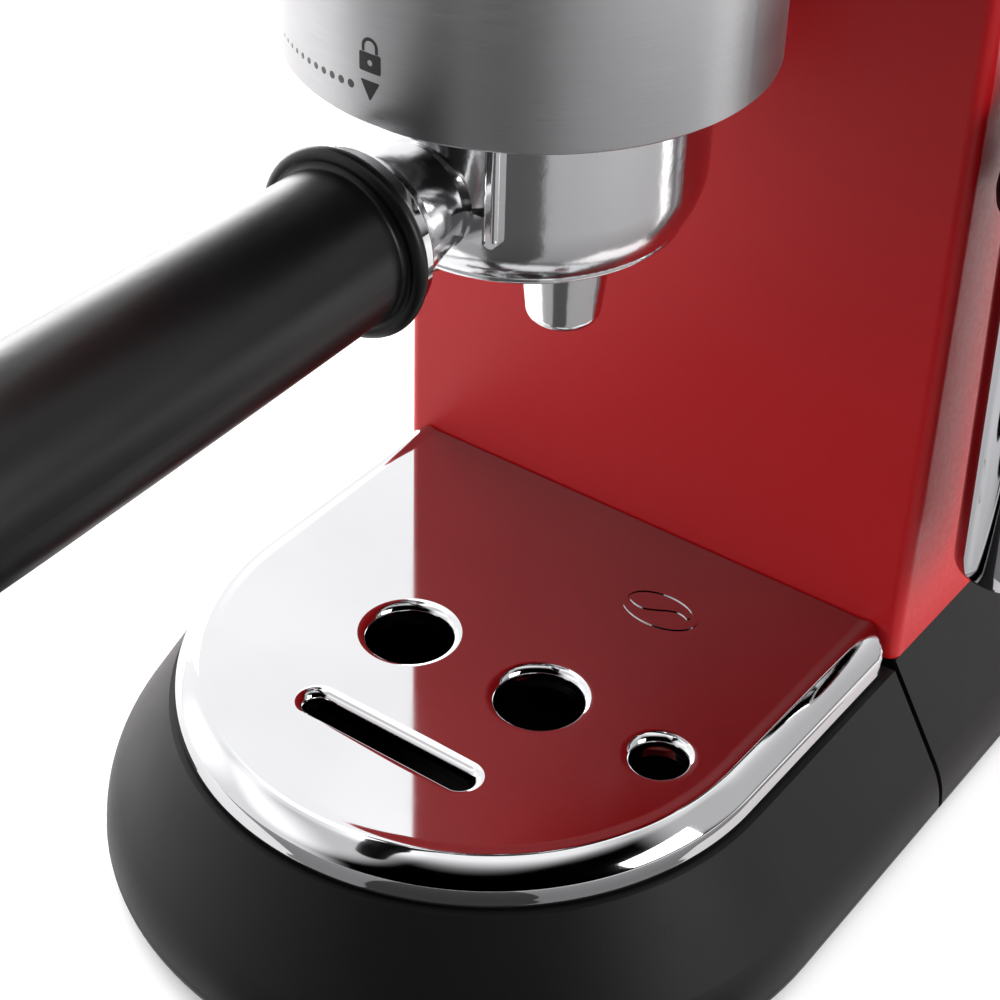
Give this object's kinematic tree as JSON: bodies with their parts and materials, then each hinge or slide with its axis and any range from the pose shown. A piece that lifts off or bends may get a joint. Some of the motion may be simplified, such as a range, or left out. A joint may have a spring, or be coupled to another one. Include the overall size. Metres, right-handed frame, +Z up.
{
  "type": "espresso machine",
  "caption": "Slim pump espresso machine: red body, round brushed group, turning portafilter with twin spouts, flared black base with slide-out drip tray, steam wand and lift-out water tank.",
  "frame": {"origin": "middle of the whole machine's footprint, at the height of the feet's undersides", "axes": "+X to the machine's right seen from the front (steam wand side), +Y from the front to the water tank, +Z up"},
  "size_m": [0.1664, 0.4195, 0.303],
  "materials": {
    "black_matte": "fine matte moulded texture",
    "black_frame": "plain moulded",
    "black_gloss": "semi gloss",
    "black_grip": "satin, soft touch",
    "foot_rubber": "matte",
    "seal_rubber": "moulded silicone rubber",
    "red_paint": "satin paint with very fine grain",
    "brushed_steel": "brushed round the cylinder or along the plate",
    "panel_steel": "fine satin",
    "screen_steel": "pressed stainless steel",
    "polished_chrome": "mirror polished",
    "polished_casting": "polished casting with a faint orange-peel",
    "cast_group": "as cast",
    "zinc_screws": "zinc plated",
    "valve_brass": "turned",
    "white_plastic": "natural nylon",
    "float_plastic": "moulded",
    "tank_clear": "smoked clear moulded plastic",
    "hose_silicone": "translucent silicone and fluoropolymer tube",
    "board_green": "circuit board",
    "pump_body": "glass filled nylon and coated coil frame"
  },
  "bodies": {
    "machine": {"base_skirt": "black_matte", "base_plate": "black_matte", "base_screws": "zinc_screws", "foot_front_left": "foot_rubber", "foot_front_right": "foot_rubber", "foot_rear_left": "foot_rubber", "foot_rear_right": "foot_rubber", "housing_shell": "red_paint", "rear_panel": "black_matte", "head_floor": "black_matte", "group_shroud": "brushed_steel", "inner_frame": "black_frame", "group_head": "cast_group", "group_gasket": "seal_rubber", "shower_screen": "screen_steel", "shower_screw": "zinc_screws", "thermoblock": "cast_group", "group_bolts": "zinc_screws", "thermostats": "white_plastic", "steam_valve": "valve_brass", "wand_socket": "black_gloss", "control_panel": "panel_steel", "control_board": "board_green", "cup_warmer": "brushed_steel", "tank_seat": "black_frame", "tank_seal": "seal_rubber", "pump": "pump_body", "pump_mounts": "seal_rubber", "flow_meter": "white_plastic", "suction_hoses": "hose_silicone", "pressure_hose": "hose_silicone", "steam_feed_pipe": "hose_silicone", "steam_outlet_pipe": "hose_silicone", "switch_body": "black_frame", "cable_gland": "black_grip"},
    "drip_tray": {"drip_tray": "black_matte"},
    "tray_cover": {"tray_cover": "polished_chrome"},
    "tray_float": {"tray_float": "float_plastic"},
    "portafilter": {"portafilter_bowl": "polished_casting", "filter_basket": "screen_steel", "spout_left": "polished_casting", "spout_right": "polished_casting", "handle_ferrule": "polished_chrome", "handle_grip": "black_grip", "handle_rod": "zinc_screws", "handle_end_cap": "black_grip"},
    "steam_knob": {"knob_shaft": "zinc_screws", "steam_knob": "black_gloss", "knob_cap": "polished_chrome"},
    "steam_wand": {"wand_tube": "screen_steel", "wand_grip": "black_grip", "froth_nozzle": "black_gloss"},
    "froth_sleeve": {"froth_sleeve": "polished_chrome"},
    "button_one_cup": {"button_one_cup": "panel_steel"},
    "button_two_cups": {"button_two_cups": "panel_steel"},
    "button_steam": {"button_steam": "panel_steel"},
    "water_tank": {"water_tank": "tank_clear", "tank_valve": "white_plastic"},
    "tank_lid": {"tank_lid": "black_gloss"},
    "power_switch": {"power_switch": "black_gloss"}
  },
  "joints": [
    {"name": "drip_tray_slide", "type": "slide", "parent": "machine", "child": "drip_tray", "axis": [0, -1, 0], "range_m": [0, 0.12]},
    {"name": "tray_cover_lift", "type": "slide", "parent": "drip_tray", "child": "tray_cover", "axis": [0, 0, 1], "range_m": [0, 0.06]},
    {"name": "float_rise", "type": "slide", "parent": "drip_tray", "child": "tray_float", "axis": [0, 0, 1], "range_m": [0, 0.012]},
    {"name": "portafilter_turn", "type": "hinge", "parent": "machine", "child": "portafilter", "pos_m": [-0.0073, -0.0392, 0.185], "axis": [0, 0, 1], "range_deg": [-45, 0]},
    {"name": "steam_knob_turn", "type": "hinge", "parent": "machine", "child": "steam_knob", "pos_m": [0.0537, 0.0452, 0.258], "axis": [1, 0, 0], "range_deg": [0, 180]},
    {"name": "steam_wand_swing", "type": "hinge", "parent": "machine", "child": "steam_wand", "pos_m": [0.0692, 0.0172, 0.216], "axis": [0, 1, 0], "range_deg": [-35, 0]},
    {"name": "froth_sleeve_pull", "type": "slide", "parent": "steam_wand", "child": "froth_sleeve", "axis": [0, 0, -1], "range_m": [0, 0.02]},
    {"name": "button_one_cup_press", "type": "slide", "parent": "machine", "child": "button_one_cup", "axis": [0, 0, -1], "range_m": [0, 0.0015], "stiffness_N_per_m": 300},
    {"name": "button_two_cups_press", "type": "slide", "parent": "machine", "child": "button_two_cups", "axis": [0, 0, -1], "range_m": [0, 0.0015], "stiffness_N_per_m": 300},
    {"name": "button_steam_press", "type": "slide", "parent": "machine", "child": "button_steam", "axis": [0, 0, -1], "range_m": [0, 0.0015], "stiffness_N_per_m": 300},
    {"name": "water_tank_lift", "type": "slide", "parent": "machine", "child": "water_tank", "axis": [0, 0, 1], "range_m": [0, 0.08]},
    {"name": "tank_lid_open", "type": "hinge", "parent": "water_tank", "child": "tank_lid", "pos_m": [-0.0073, 0.2076, 0.2876], "axis": [-1, 0, 0], "range_deg": [0, 95]},
    {"name": "power_switch_rock", "type": "hinge", "parent": "machine", "child": "power_switch", "pos_m": [-0.0423, 0.2017, 0.019], "axis": [1, 0, 0], "range_deg": [0, 16]}
  ]
}
